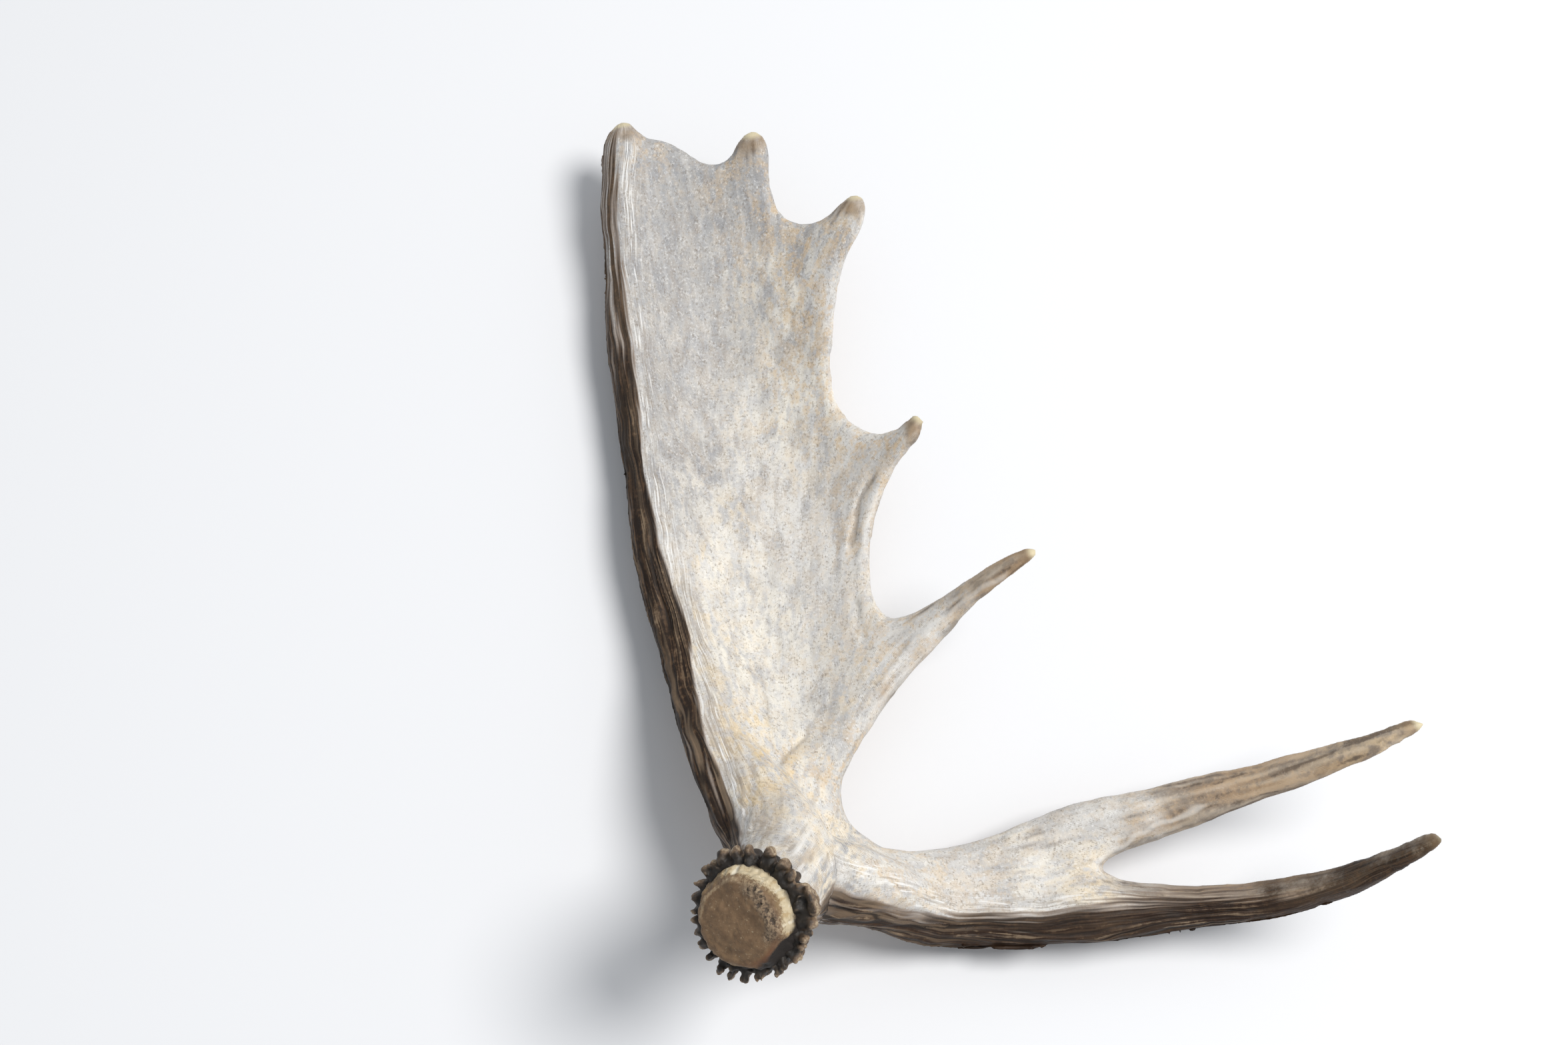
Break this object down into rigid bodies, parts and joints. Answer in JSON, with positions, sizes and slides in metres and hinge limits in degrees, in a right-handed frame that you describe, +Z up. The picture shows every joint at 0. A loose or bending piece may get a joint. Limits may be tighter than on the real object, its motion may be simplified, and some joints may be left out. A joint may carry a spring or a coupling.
{
  "type": "moose antler",
  "caption": "Moose antler lying on its back: cupped palm with short points, forked brow palm, round beam and knobbly burr.",
  "frame": {"origin": "middle of the antler's box on the surface it lies on", "axes": "+Z up out of the hollow side, +Y from the burr towards the palm's top, +X towards the brow tines"},
  "size_m": [0.4966, 0.5962, 0.196],
  "materials": {
    "beam_bone": "matt dry bone, brown in the furrows",
    "palm_bone": "matt dry bone, grey and cream mottling",
    "point_bone": "dry bone, polished at the tips",
    "dark_bone": "dry bone, dark brown furrows"
  },
  "bodies": {
    "root": {"beam": "beam_bone", "palm": "palm_bone", "palm_tine": "point_bone", "brow_palm": "beam_bone", "upper_brow_tine": "point_bone", "lower_brow_tine": "dark_bone"}
  },
  "joints": []
}
